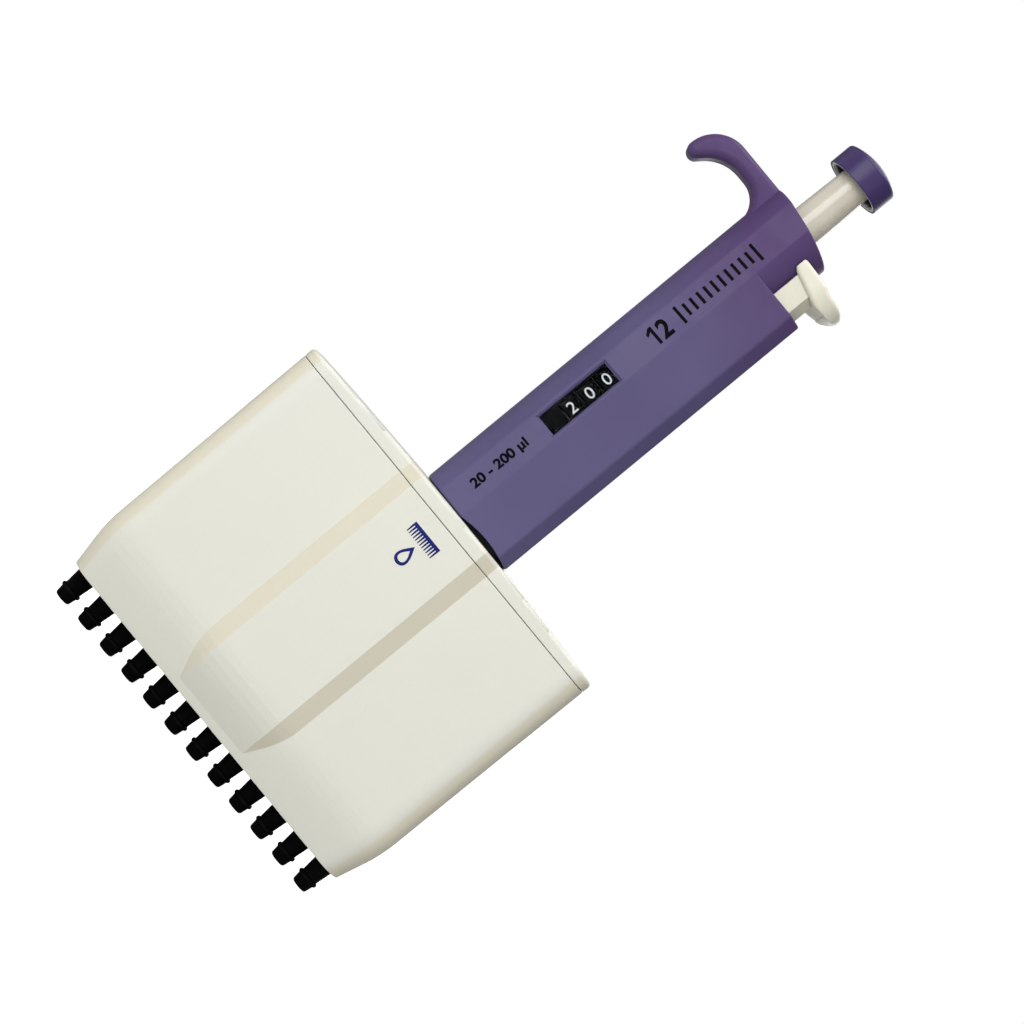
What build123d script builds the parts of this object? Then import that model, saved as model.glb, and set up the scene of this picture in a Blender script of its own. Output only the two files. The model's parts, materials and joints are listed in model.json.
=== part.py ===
"""Twelve-channel manual air-displacement pipette, 20 to 200 microlitres.

Millimetres.  The origin is on the plunger axis, in the plane of the nozzle tips.
+Z runs up towards the push-button, +X along the row of nozzles towards the ejector
button, and -Y is the front, where the volume is read.
"""
from build123d import *
import math
import os

os.makedirs("parts", exist_ok=True)

# ---- driving dimensions -------------------------------------------------------------
PITCH = 9.0            # nozzle spacing, the microplate standard
CHANNELS = 12
STROKE = 15.5          # 12.0 mm to the first stop and 3.5 mm of blow-out
RUN = 0.06             # radial running clearance

# heights up the plunger axis
Z_SHELL = 9.7          # bottom of the manifold shell
Z_TAPER = 23.2         # top of the shell's lower taper
Z_SEAM = 91.1          # top of the shell
Z_LID = 91.3           # underside of the lid's rim
Z_LID_TOP = 95.6
Z_HANDLE = 95.9        # bottom of the handle
Z_BLOCK = 195.8        # top of the ejector side of the handle
Z_TOWER = 216.0        # top of the plunger side of the handle
Z_CAP = 231.8          # rim of the push-button
Z_TOP = 240.7          # crown of the push-button

# manifold
BODY_HALF = 57.5       # half width of the shell at its top
DEPTH_HALF = 13.5      # half depth of the shell, away from the raised band
BAND_HALF = 12.9       # half width of the raised band's plateau
BAND_FOOT = 17.75      # half width of the band at its foot
BAND_PROUD = 3.0
WALL = 2.0
WALL_LOW = 1.1         # the wall at the shell's bottom lip
POST_GRID = (54.0, 17.0)           # spacing of the guide posts
POST_TOP = 93.4
PIN_GRID = (36.0, 11.0)            # spacing of the pins that push the comb

# handle
HANDLE_WALL = 1.6
FACET_D = 12.2         # distance of the window facet from the plunger axis
FACET_TURN = 14.0      # how far the window facet is turned to the left
WINDOW_W, WINDOW_H = 6.4, 22.3
WINDOW_Z = 139.3
WINDOW_ALONG = 0.15    # the window's middle, measured along its facet
EJECT_X = 15.5         # axis of the ejector rod
TUBE_R = 8.0           # outside of the swivel tube
FRAME_SCREWS = ((12.5, 6.5), (12.5, -6.5))

# counter
DIGIT_Z = (136.6, 142.6, 148.4)    # hundreds, tens and units drums
DRUM_R = 9.4
DRUM_RIM_H = 4.4
JOURNAL_R = 3.6
GEAR_MODULE = 0.8
DRUM_TEETH = 20
PINION_TEETH = 8
PINION_TURN = 30.0     # bearing of the pinion shaft around the plunger axis
PINION_AT = GEAR_MODULE * (DRUM_TEETH + PINION_TEETH) / 2

NOZZLE_X = [(i - (CHANNELS - 1) / 2) * PITCH for i in range(CHANNELS)]


def save(part, name):
    """Label a finished piece and write it as one STEP file."""
    part.label = name
    export_step(part, f"parts/{name}.step")


def ring(name, outer, inner, z0, z1):
    """A plain ring on the plunger axis."""
    with BuildPart() as piece:
        with BuildSketch(Plane.XY.offset(z0)):
            Circle(outer)
            Circle(inner, mode=Mode.SUBTRACT)
        extrude(amount=z1 - z0)
    save(piece.part, name)
    return piece.part


def turned(points):
    """A solid of revolution about the plunger axis, from (radius, height) points."""
    with BuildPart() as piece:
        with BuildSketch(Plane.XZ):
            with BuildLine():
                Polyline(*points, close=True)
            make_face()
        revolve(axis=Axis.Z)
    return piece.part


def helix_spring(name, mean_r, wire_r, z0, z1, turns, at_x=0.0):
    """A compression spring standing between two seats."""
    rise = z1 - z0 - 2 * wire_r - 0.1
    with BuildPart() as piece:
        with BuildLine(Plane.XY.offset(z0 + wire_r + 0.05)):
            path = Helix(pitch=rise / turns, height=rise, radius=mean_r)
        with BuildSketch(Plane(origin=path @ 0, z_dir=path % 0)):
            Circle(wire_r)
        sweep()
    save(Pos(at_x, 0, 0) * piece.part, name)


def facet_point(along, distance=FACET_D):
    """A point in plan on the window facet, measured along it from its middle."""
    turn = math.radians(FACET_TURN)
    normal = (-math.sin(turn), -math.cos(turn))
    run = (math.cos(turn), -math.sin(turn))
    return (distance * normal[0] + along * run[0], distance * normal[1] + along * run[1])


def facet_plane(distance, along=WINDOW_ALONG, z=WINDOW_Z):
    """A plane parallel to the window facet, facing outwards, centred on the window."""
    turn = math.radians(FACET_TURN)
    x, y = facet_point(along, distance)
    return Plane(
        origin=(x, y, z),
        x_dir=(math.cos(turn), -math.sin(turn), 0),
        z_dir=(-math.sin(turn), -math.cos(turn), 0),
    )


# plan of the handle: a round back of the hand on the left, the window facet, the wide
# flat and a bevel on the right, the same front and back
FACET_LEFT = facet_point(-4.48)
FACET_RIGHT = facet_point(4.48)
FLAT_Y = -FACET_RIGHT[1]
BLOCK_END = 19.6
BEVEL_X, BEVEL_Y = 16.0, 9.4
BACK_X = -12.5         # leftmost point of the handle
RIDGE_R = 1.3          # rounding of the upright ridges between the facets


def block_outline(inset=0.0):
    """Plan of the whole handle, ejector side included."""
    with BuildSketch(mode=Mode.PRIVATE) as plan:
        with BuildLine():
            ThreePointArc((FACET_LEFT[0], -FACET_LEFT[1]), (BACK_X, 0), FACET_LEFT)
            Polyline(
                FACET_LEFT,
                FACET_RIGHT,
                (BEVEL_X, -FLAT_Y),
                (BLOCK_END, -BEVEL_Y),
                (BLOCK_END, BEVEL_Y),
                (BEVEL_X, FLAT_Y),
                (FACET_RIGHT[0], FLAT_Y),
                (FACET_LEFT[0], -FACET_LEFT[1]),
            )
        make_face()
        fillet(plan.vertices(), RIDGE_R)
        if inset:
            offset(amount=-inset, kind=Kind.INTERSECTION)
    return plan.sketch


def tower_outline():
    """Plan of the plunger side alone, above the ejector side."""
    with BuildSketch(mode=Mode.PRIVATE) as plan:
        with BuildLine():
            ThreePointArc((FACET_LEFT[0], -FACET_LEFT[1]), (BACK_X, 0), FACET_LEFT)
            Line(FACET_LEFT, FACET_RIGHT)
            ThreePointArc(FACET_RIGHT, (12.4, 0), (FACET_RIGHT[0], FLAT_Y))
            Line((FACET_RIGHT[0], FLAT_Y), (FACET_LEFT[0], -FACET_LEFT[1]))
        make_face()
        fillet(plan.vertices(), RIDGE_R)
    return plan.sketch


EJECT_FRONT = 10.2     # half depth of the ejector stem


def eject_outline(grow=0.0):
    """Plan of the ejector stem, which wraps round the plunger side."""
    with BuildSketch(mode=Mode.PRIVATE) as plan:
        with BuildLine():
            Polyline(
                (8.6, -EJECT_FRONT),
                (14.9, -EJECT_FRONT),
                (17.6, -6.0),
                (17.6, 6.0),
                (14.9, EJECT_FRONT),
                (8.6, EJECT_FRONT),
                close=True,
            )
        make_face()
        if grow:
            offset(amount=grow, kind=Kind.INTERSECTION)
        with Locations((FACET_RIGHT[0] - 0.7, 0)):
            Circle(12.9 - grow, mode=Mode.SUBTRACT)
    return plan.sketch


# ---- handle ---------------------------------------------------------------------------
# the finger hook: straight out from the crown, round a bend and down to a rounded tip
HOOK_TOP, HOOK_UNDER = 215.85, 210.5
HOOK_HALF = 5.0        # half width, front to back
BEND_X, BEND_R = -26.3, 10.1
TIP_X, TIP_Z, TIP_R = -34.0, 205.7, 2.4
TIP_TURN = 55.0        # slope of the hook's inner side where it leaves the tip
ROOT_R = 7.0           # fillet between the hook and the handle
ROOT_END = 194.0       # where the root has run out into the handle


def on_circle(x, z, radius, degrees):
    """A point on a circle in the XZ plane."""
    turn = math.radians(degrees)
    return (x + radius * math.cos(turn), z + radius * math.sin(turn))


with BuildPart() as hook:
    inner_tip = on_circle(TIP_X, TIP_Z, TIP_R, TIP_TURN - 90.0)
    inner_start = on_circle(*inner_tip, 1.6, TIP_TURN)
    inner_r = (HOOK_UNDER - inner_start[1]) / (1 - math.cos(math.radians(TIP_TURN)))
    inner_x = inner_start[0] + inner_r * math.sin(math.radians(TIP_TURN))
    root_x = BACK_X + 0.2 - ROOT_R
    root_z = HOOK_UNDER - ROOT_R
    with BuildSketch(Plane.XZ):
        with BuildLine():
            Line((-11.6, HOOK_TOP), (BEND_X, HOOK_TOP))
            CenterArc((BEND_X, HOOK_TOP - BEND_R), BEND_R, 90.0, 90.0)
            Line((BEND_X - BEND_R, HOOK_TOP - BEND_R), (TIP_X - TIP_R, TIP_Z))
            CenterArc((TIP_X, TIP_Z), TIP_R, 180.0, TIP_TURN + 90.0)
            Line(inner_tip, inner_start)
            CenterArc((inner_x, HOOK_UNDER - inner_r), inner_r, TIP_TURN + 90.0, -TIP_TURN)
            Line((inner_x, HOOK_UNDER), (root_x, HOOK_UNDER))
            CenterArc((root_x, root_z), ROOT_R, 90.0, -90.0)
            Polyline(
                (root_x + ROOT_R, root_z),
                (-10.6, ROOT_END),
                (-9.0, ROOT_END),
                (-9.0, HOOK_TOP - 1.0),
                (-11.6, HOOK_TOP),
            )
        make_face()
    extrude(amount=HOOK_HALF, both=True)
    long_edges = hook.edges().filter_by(
        lambda e: e.center().X < -11.0 and e.bounding_box().size.Y < 0.01
    )
    fillet(long_edges, 2.3)

# the plunger side, whose crown falls away towards the ejector
CROWN_FALL = 0.167     # slope of the crown
with BuildPart() as tower:
    with BuildSketch(Plane.XY.offset(Z_BLOCK - 10.0)):
        add(tower_outline())
    extrude(amount=Z_TOWER - Z_BLOCK + 12.0)
    with BuildSketch(Plane.XZ):
        with BuildLine():
            Polyline(
                (BACK_X, Z_TOWER),
                (13.5, Z_TOWER - 26.0 * CROWN_FALL),
                (13.5, Z_TOWER + 6.0),
                (BACK_X - 1.0, Z_TOWER + 6.0),
                (BACK_X - 1.0, Z_TOWER + CROWN_FALL),
                close=True,
            )
        make_face()
    extrude(amount=14.0, both=True, mode=Mode.SUBTRACT)
    fillet(tower.faces().sort_by(Axis.Z)[-1].edges(), 0.6)

HOLLOW_TOP = 193.5
BUSHING_R = 7.5
BUSHING_LOW, BUSHING_TOP = 198.0, 210.0
ARCH_H = 1.3           # rise of the foot's arch
with BuildPart() as handle_shell:
    with BuildSketch(Plane.XY.offset(Z_HANDLE)):
        add(block_outline())
    extrude(amount=Z_BLOCK - Z_HANDLE)
    foot = handle_shell.faces().sort_by(Axis.Z)[0].edges()
    fillet(foot, 0.5)
    rim = handle_shell.faces().sort_by(Axis.Z)[-1].edges().filter_by(lambda e: e.center().X > 2.0)
    fillet(rim, 0.5)
    add(tower.part)
    add(hook.part)
    # the hollow that holds the works, and the bores above it
    with BuildSketch(Plane.XY.offset(Z_HANDLE)):
        add(block_outline(HANDLE_WALL))
    extrude(amount=HOLLOW_TOP - Z_HANDLE, mode=Mode.SUBTRACT)
    with BuildSketch(Plane.XY.offset(HOLLOW_TOP - 8.0)):
        Circle(BUSHING_R)
    extrude(amount=BUSHING_TOP + 0.1 - HOLLOW_TOP + 8.0, mode=Mode.SUBTRACT)
    with BuildSketch(Plane.XY.offset(BUSHING_LOW)):
        Circle(5.6)
    extrude(amount=20.0, mode=Mode.SUBTRACT)
    with BuildSketch(Plane.XY.offset(HOLLOW_TOP - 1.5)):
        add(eject_outline(0.15))
    extrude(amount=Z_TOWER - HOLLOW_TOP + 1.5, mode=Mode.SUBTRACT)
    # the foot arches up towards the ejector side
    with BuildSketch(Plane.XZ):
        with BuildLine():
            ThreePointArc((1.5, Z_HANDLE), (10.4, Z_HANDLE + ARCH_H), (19.3, Z_HANDLE))
            Polyline(
                (19.3, Z_HANDLE),
                (19.3, Z_HANDLE - 1.0),
                (1.5, Z_HANDLE - 1.0),
                (1.5, Z_HANDLE),
            )
        make_face()
    extrude(amount=14.0, both=True, mode=Mode.SUBTRACT)
    # the volume window, with a chamfered frame
    with BuildSketch(facet_plane(FACET_D + 1.0)):
        Rectangle(WINDOW_W, WINDOW_H)
    extrude(amount=-4.0, mode=Mode.SUBTRACT)
    with BuildSketch(facet_plane(FACET_D + 0.01)):
        Rectangle(WINDOW_W + 1.0, WINDOW_H + 1.4)
    extrude(amount=-0.5, taper=40.0, mode=Mode.SUBTRACT)
save(handle_shell.part, "handle_shell")

# a plug inside the foot, with a thin flange under the wall
FLANGE = 0.18
PLUG_H = 1.8
with BuildPart() as handle_base:
    with BuildSketch(Plane.XY.offset(Z_HANDLE - FLANGE)):
        add(block_outline(0.3))
    extrude(amount=FLANGE)
    with BuildSketch(Plane.XY.offset(Z_HANDLE - FLANGE)):
        add(block_outline(HANDLE_WALL + 0.05))
    extrude(amount=PLUG_H)
    with BuildSketch(Plane.XY.offset(Z_HANDLE - FLANGE)):
        Circle(10.35)
    extrude(amount=PLUG_H, mode=Mode.SUBTRACT)
save(handle_base.part, "handle_base")

with BuildPart() as counter_lens:
    with BuildSketch(facet_plane(FACET_D - 0.55)):
        Rectangle(WINDOW_W - 0.06, WINDOW_H - 0.06)
    extrude(amount=-0.95)
save(counter_lens.part, "counter_lens")

with BuildPart() as counter_mask:
    with BuildSketch(facet_plane(FACET_D - 1.65)):
        Rectangle(8.4, 25.6)
        with Locations(*[(0, z - WINDOW_Z) for z in DIGIT_Z]):
            Rectangle(5.4, 5.3, mode=Mode.SUBTRACT)
    extrude(amount=-0.5)
save(counter_mask.part, "counter_mask")

STEM_R = 5.3
ring("stem_bushing", BUSHING_R, STEM_R + RUN, BUSHING_LOW, BUSHING_TOP)

with BuildPart() as swivel_tube:
    with BuildSketch(Plane.XY.offset(66.4)):
        Circle(TUBE_R)
    extrude(amount=111.5 - 66.4)
    with BuildSketch(Plane.XY.offset(108.5)):
        add(block_outline(HANDLE_WALL + 0.05))
    extrude(amount=3.0)
    with BuildSketch(Plane.XY.offset(66.4)):
        Circle(2.5 + 0.1)
    extrude(amount=50.0, mode=Mode.SUBTRACT)
    with BuildSketch(Plane.XY.offset(70.0)):
        Circle(5.5)
    extrude(amount=50.0, mode=Mode.SUBTRACT)
    with Locations((EJECT_X, 0, 110.0)):
        Hole(1.5 + RUN)
    with Locations(*[(x, y, 110.0) for x, y in FRAME_SCREWS]):
        Hole(1.1)
save(swivel_tube.part, "swivel_tube")

SWIVEL_NUT_TOP = 69.9
with BuildPart() as swivel_nut:
    with BuildSketch(Plane.XY.offset(66.4)):
        RegularPolygon(10.4, 6)
        Circle(TUBE_R, mode=Mode.SUBTRACT)
    extrude(amount=SWIVEL_NUT_TOP - 66.4)
save(swivel_nut.part, "swivel_nut")

# ---- counter --------------------------------------------------------------------------
PLATE_LOW, PLATE_HIGH = 128.6, 153.0
SHAFT_AT = (
    PINION_AT * math.cos(math.radians(PINION_TURN)),
    PINION_AT * math.sin(math.radians(PINION_TURN)),
)
with BuildPart() as counter_frame:
    for level, height in ((PLATE_LOW, 2.4), (PLATE_HIGH, 3.0)):
        with BuildSketch(Plane.XY.offset(level)):
            add(block_outline(HANDLE_WALL + 0.05))
            with Locations(facet_point(0, FACET_D)):
                Rectangle(14.0, 5.4, rotation=-FACET_TURN, mode=Mode.SUBTRACT)
        extrude(amount=height)
    with BuildSketch(Plane.XY.offset(111.5)):
        Circle(10.5)
        Circle(9.6, mode=Mode.SUBTRACT)
        with Locations((0, -12.0)):
            Rectangle(60.0, 34.0, mode=Mode.SUBTRACT)
        with Locations((13.0, 0)):
            Rectangle(20.0, 60.0, mode=Mode.SUBTRACT)
    extrude(amount=PLATE_HIGH - 111.5)
    with BuildSketch(Plane.XY.offset(111.5)):
        with Locations(*FRAME_SCREWS):
            Circle(2.2)
    extrude(amount=PLATE_LOW - 111.5)
    # the key slot that stops the nut from turning
    with BuildSketch(Plane.XY.offset(111.5)):
        with Locations((0, 10.0)):
            Rectangle(2.3, 3.0)
    extrude(amount=PLATE_LOW - 111.5, mode=Mode.SUBTRACT)
    with Locations((0, 0, 140.0)):
        Hole(JOURNAL_R + RUN)
    with Locations((EJECT_X, 0, 140.0)):
        Hole(1.5 + 0.15)
    with Locations((*SHAFT_AT, 140.0)):
        Hole(0.8)
    with BuildSketch(Plane.XY.offset(111.5)):
        with Locations(*FRAME_SCREWS):
            Circle(1.0)
    extrude(amount=9.0, mode=Mode.SUBTRACT)
save(counter_frame.part, "counter_frame")

with BuildPart() as frame_screws:
    with BuildSketch(Plane.XY.offset(107.0)):
        with Locations(*FRAME_SCREWS):
            Circle(1.9)
    extrude(amount=1.5)
    with BuildSketch(Plane.XY.offset(107.0)):
        with Locations(*FRAME_SCREWS):
            Circle(1.0)
    extrude(amount=13.0)
    with BuildSketch(Plane.XY.offset(107.0)):
        with Locations(*FRAME_SCREWS):
            Rectangle(2.6, 0.5)
            Rectangle(0.5, 2.6)
    extrude(amount=0.8, mode=Mode.SUBTRACT)
save(frame_screws.part, "frame_screws")

with BuildPart() as pinion_shaft:
    with BuildSketch(Plane.XY.offset(PLATE_LOW)):
        with Locations(SHAFT_AT):
            Circle(0.8)
    extrude(amount=PLATE_HIGH + 3.0 - PLATE_LOW)
save(pinion_shaft.part, "pinion_shaft")

# the drive sleeve turns with the push-button, which slides through it on two flats
with BuildPart() as drive_sleeve:
    with BuildSketch(Plane.XY.offset(112.0)):
        Circle(4.5)
    extrude(amount=PLATE_LOW - 0.1 - 112.0)
    with BuildSketch(Plane.XY.offset(112.0)):
        Circle(JOURNAL_R)
    extrude(amount=50.0)
    with BuildSketch(Plane.XY.offset(156.1)):
        Circle(5.4)
    extrude(amount=8.0)
    with BuildSketch(Plane.XY.offset(112.0)):
        Circle(2.5 + RUN)
    extrude(amount=46.0, mode=Mode.SUBTRACT)
    with BuildSketch(Plane.XY.offset(156.0)):
        Circle(2.5 + RUN)
        Rectangle(6.0, 2 * (1.9 + RUN), mode=Mode.INTERSECT)
    extrude(amount=10.0, mode=Mode.SUBTRACT)
save(drive_sleeve.part, "drive_sleeve")


def tooth_points(pitch_r, addendum=0.5, dedendum=0.8, thick=0.95):
    """One straight-sided stub tooth pointing along +X, as a closed outline."""
    return [
        (pitch_r - dedendum, -thick * 0.75),
        (pitch_r, -thick * 0.5),
        (pitch_r + addendum, -thick * 0.22),
        (pitch_r + addendum, thick * 0.22),
        (pitch_r, thick * 0.5),
        (pitch_r - dedendum, thick * 0.75),
    ]


def gear_plan(teeth, phase, bore):
    """Plan of a gear with stub teeth, one of them pointing along `phase` degrees."""
    pitch_r = GEAR_MODULE * teeth / 2
    with BuildSketch(mode=Mode.PRIVATE) as plan:
        Circle(pitch_r - 0.7)
        with PolarLocations(0, teeth, start_angle=phase):
            Polygon(*tooth_points(pitch_r), align=None)
        Circle(bore, mode=Mode.SUBTRACT)
    return plan.sketch


def drum(name, middle, bore, geared):
    """A digit drum; a geared one carries the ring that its pinion drives."""
    low = middle - DRUM_RIM_H / 2
    with BuildPart() as piece:
        with BuildSketch(Plane.XY.offset(low)):
            Circle(DRUM_R)
            Circle(bore, mode=Mode.SUBTRACT)
        extrude(amount=DRUM_RIM_H)
        if geared:
            with BuildSketch(Plane.XY.offset(low + DRUM_RIM_H)):
                add(gear_plan(DRUM_TEETH, PINION_TURN, bore))
            extrude(amount=0.7)
        if name != "hundreds_drum":
            with BuildSketch(Plane.XY.offset(low - 0.55)):
                Circle(6.7)
                Circle(bore, mode=Mode.SUBTRACT)
            extrude(amount=0.55)
    save(piece.part, name)


drum("hundreds_drum", DIGIT_Z[0], JOURNAL_R + RUN, True)
drum("tens_drum", DIGIT_Z[1], JOURNAL_R + RUN, True)
drum("units_drum", DIGIT_Z[2], JOURNAL_R, False)


def pinion(name, driven_middle):
    """A transfer pinion, in mesh with the ring on the drum below it."""
    low = driven_middle + DRUM_RIM_H / 2 + 0.05
    facing = PINION_TURN + 180.0 + 180.0 / PINION_TEETH
    with BuildPart() as piece:
        with BuildSketch(Plane.XY.offset(low)):
            add(Pos(*SHAFT_AT) * gear_plan(PINION_TEETH, facing, 0.8 + RUN))
        extrude(amount=1.2)
    save(piece.part, name)


pinion("hundreds_pinion", DIGIT_Z[0])
pinion("tens_pinion", DIGIT_Z[1])

NUT_TOP = 128.0
NUT_H = 3.8
with BuildPart() as stop_nut:
    with BuildSketch(Plane.XY.offset(NUT_TOP - NUT_H)):
        Circle(8.0)
        with Locations((0, 8.0)):
            Rectangle(2.0, 5.2)
        Circle(4.5 + RUN, mode=Mode.SUBTRACT)
    extrude(amount=NUT_H)
save(stop_nut.part, "stop_nut")

# ---- plunger --------------------------------------------------------------------------
CAP_R = 8.95
CROWN_R = 19.0         # radius of the button's domed crown
CAVITY_R = 7.9
CAVITY_TOP = 237.9
RIM_R = 8.45           # groove for the ring at the rim
LINER = 0.6            # thickness of the cavity's lining
with BuildPart() as push_button:
    with BuildSketch(Plane.XY.offset(Z_CAP)):
        Circle(CAP_R)
    extrude(amount=Z_TOP - Z_CAP)
    with Locations((0, 0, Z_TOP - CROWN_R)):
        Sphere(CROWN_R, rotation=(90, 0, 0), mode=Mode.INTERSECT)
    rims = push_button.edges().filter_by(GeomType.CIRCLE).filter_by(lambda e: e.radius < CAP_R + 0.1)
    fillet(rims.sort_by(Axis.Z)[-1], 1.0)
    with BuildSketch(Plane.XY.offset(Z_CAP)):
        Circle(CAVITY_R)
    extrude(amount=CAVITY_TOP - Z_CAP, mode=Mode.SUBTRACT)
    with BuildSketch(Plane.XY.offset(Z_CAP)):
        Circle(RIM_R)
    extrude(amount=0.9, mode=Mode.SUBTRACT)
save(push_button.part, "push_button")

button_liner = turned([
    (5.0, CAVITY_TOP),
    (CAVITY_R, CAVITY_TOP),
    (CAVITY_R, Z_CAP + 0.9),
    (CAVITY_R - LINER, Z_CAP + 0.9),
    (CAVITY_R - LINER, CAVITY_TOP - 2.0),
    (5.0, CAVITY_TOP - 2.0),
])
save(button_liner, "button_liner")

ring("button_ring", RIM_R, CAVITY_R - 0.1, Z_CAP + 0.1, Z_CAP + 0.9)

plunger_stem = turned([
    (2.5, 193.0),
    (4.9, 193.0),
    (STEM_R, 193.4),
    (STEM_R, 217.5),
    (5.0, 233.0),
    (5.0, CAVITY_TOP),
    (2.5, CAVITY_TOP),
])
save(plunger_stem, "plunger_stem")

ROD_END = 63.0
with BuildPart() as plunger_rod:
    with BuildSketch(Plane.XY.offset(ROD_END)):
        Circle(4.0)
    extrude(amount=1.6)
    with BuildSketch(Plane.XY.offset(ROD_END)):
        Circle(2.5)
    extrude(amount=CAVITY_TOP - 0.4 - ROD_END)
    # two flats that slide through the drive sleeve
    with BuildSketch(Plane.XY.offset(150.0)):
        with Locations((0, 2.9), (0, -2.9)):
            Rectangle(8.0, 2.0)
    extrude(amount=42.0, mode=Mode.SUBTRACT)
save(plunger_rod.part, "plunger_rod")

ring("rod_collar", 5.2, 2.5, 108.2, 110.6)
WASHER_TOP = 77.3
ring("blowout_stop", 3.9, 2.5, WASHER_TOP + STROKE + 0.2, WASHER_TOP + STROKE + 2.2)
ring("blowout_washer", 4.2, 2.5 + RUN, WASHER_TOP - 1.3, WASHER_TOP)

helix_spring("return_spring", 4.85, 0.4, 70.0, 108.2, 11)
helix_spring("blowout_spring", 3.35, 0.45, 70.0, WASHER_TOP - 1.3, 3)
helix_spring("ejector_spring", 2.1, 0.25, 156.0, 186.0, 12, EJECT_X)

# ---- ejector --------------------------------------------------------------------------
PAD_HALF = 11.6        # half width of the thumb pad, front to back
PAD_END = 25.6
with BuildPart() as ejector_button:
    with BuildSketch(Plane.XZ):
        with BuildLine():
            Polyline((6.8, 204.7), (6.8, 208.6), (16.0, 208.2))
            Spline((16.0, 208.2), (21.0, 207.5), (24.6, 206.8), (25.6, 205.7), (24.8, 204.3), (21.2, 202.9))
            Polyline((21.2, 202.9), (17.0, 202.2), (6.8, 204.7))
        make_face()
    extrude(amount=PAD_HALF, both=True)
    with BuildSketch(Plane.XY.offset(200.0)):
        with BuildLine():
            Line((6.8, -PAD_HALF), (PAD_END - PAD_HALF, -PAD_HALF))
            CenterArc((PAD_END - PAD_HALF, 0), PAD_HALF, -90.0, 180.0)
            Polyline((PAD_END - PAD_HALF, PAD_HALF), (6.8, PAD_HALF), (6.8, -PAD_HALF))
        make_face()
    extrude(amount=12.0, mode=Mode.INTERSECT)
    rims = ejector_button.edges().filter_by(
        lambda e: e.center().X > 7.5
        and (e.bounding_box().size.Y > 10.0 or abs(e.center().Y) > PAD_HALF - 0.05)
    )
    fillet(rims, 1.2)
    with BuildSketch(Plane.XY.offset(186.0)):
        add(eject_outline())
    extrude(amount=20.5)
    with BuildSketch(Plane.XY.offset(186.0)):
        with Locations((FACET_RIGHT[0] - 0.7, 0)):
            Circle(12.9)
    extrude(amount=30.0, mode=Mode.SUBTRACT)
    with BuildSketch(Plane.XY.offset(186.0)):
        with Locations((13.4, 0)):
            Rectangle(8.4, 12.0)
    extrude(amount=4.0)
    with BuildSketch(Plane.XY.offset(186.0)):
        with Locations((EJECT_X, 0)):
            Circle(1.5)
    extrude(amount=6.0, mode=Mode.SUBTRACT)
save(ejector_button.part, "ejector_button")

with BuildPart() as ejector_rod:
    with BuildSketch(Plane.XY.offset(103.5)):
        with Locations((EJECT_X, 0)):
            Circle(1.5)
    extrude(amount=192.0 - 103.5)
save(ejector_rod.part, "ejector_rod")

RING_R = 10.2
with BuildPart() as ejector_ring:
    with BuildSketch(Plane.XY.offset(86.0)):
        Circle(RING_R)
    extrude(amount=20.5)
    with BuildSketch(Plane.XY.offset(103.5)):
        with Locations((12.0, 0)):
            Rectangle(11.6, 5.6)
    extrude(amount=3.0)
    with BuildSketch(Plane.XY.offset(86.0)):
        Circle(TUBE_R + 0.1)
        with Locations((EJECT_X, 0)):
            Circle(1.5)
    extrude(amount=21.0, mode=Mode.SUBTRACT)
save(ejector_ring.part, "ejector_ring")

YOKE_TOP = 85.9
with BuildPart() as comb_yoke:
    with BuildSketch(Plane.XY.offset(YOKE_TOP - 3.4)):
        SlotOverall(50.0, 21.0)
        Circle(TUBE_R + 0.15, mode=Mode.SUBTRACT)
        with GridLocations(*PIN_GRID, 2, 2):
            Circle(1.2, mode=Mode.SUBTRACT)
    extrude(amount=3.4)
save(comb_yoke.part, "comb_yoke")

COMB_LOW, COMB_HIGH = 9.9, 12.4
with BuildPart() as comb_pins:
    with BuildSketch(Plane.XY.offset(COMB_LOW + 0.5)):
        with GridLocations(*PIN_GRID, 2, 2):
            Circle(1.2)
    extrude(amount=YOKE_TOP - 0.2 - COMB_LOW - 0.5)
save(comb_pins.part, "comb_pins")

with BuildPart() as ejector_comb:
    with BuildSketch(Plane.XY.offset(COMB_LOW)):
        RectangleRounded(101.0, 14.6, 5.0)
        with GridLocations(PITCH, 0, CHANNELS, 1):
            Circle(3.5, mode=Mode.SUBTRACT)
        with GridLocations(*PIN_GRID, 2, 2):
            Circle(1.2, mode=Mode.SUBTRACT)
    extrude(amount=COMB_HIGH - COMB_LOW)
save(ejector_comb.part, "ejector_comb")

# ---- manifold -------------------------------------------------------------------------
BLEND = 5.0            # half height of the curve between the lower taper and the upright part


def taper_levels(low, high, steps=4):
    """Sections up a taper and round the curve that ends it, each a height and its sizes."""
    share = 1 - BLEND / (high[0] - low[0])
    bend = [a + share * (b - a) for a, b in zip(low, high)]
    levels = [low]
    for i in range(steps + 1):
        left = (1 - i / steps) ** 2
        sizes = [b - left * (b - a) for a, b in zip(bend[1:], high[1:])]
        levels.append((bend[0] + 2 * BLEND * i / steps, *sizes))
    return levels


# height, half width, half depth and corner radius of the shell
SHELL_LEVELS = [
    *taper_levels((Z_SHELL, 54.2, 9.6, 6.5), (Z_TAPER, 57.0, DEPTH_HALF, 7.5)),
    (Z_SEAM, BODY_HALF, DEPTH_HALF, 7.5),
]
# height and distance from the axis of the band's plateau
BAND_LEVELS = [
    *taper_levels((12.0, 10.2), (Z_TAPER, DEPTH_HALF + BAND_PROUD)),
    (Z_SEAM, DEPTH_HALF + BAND_PROUD),
]


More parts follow.
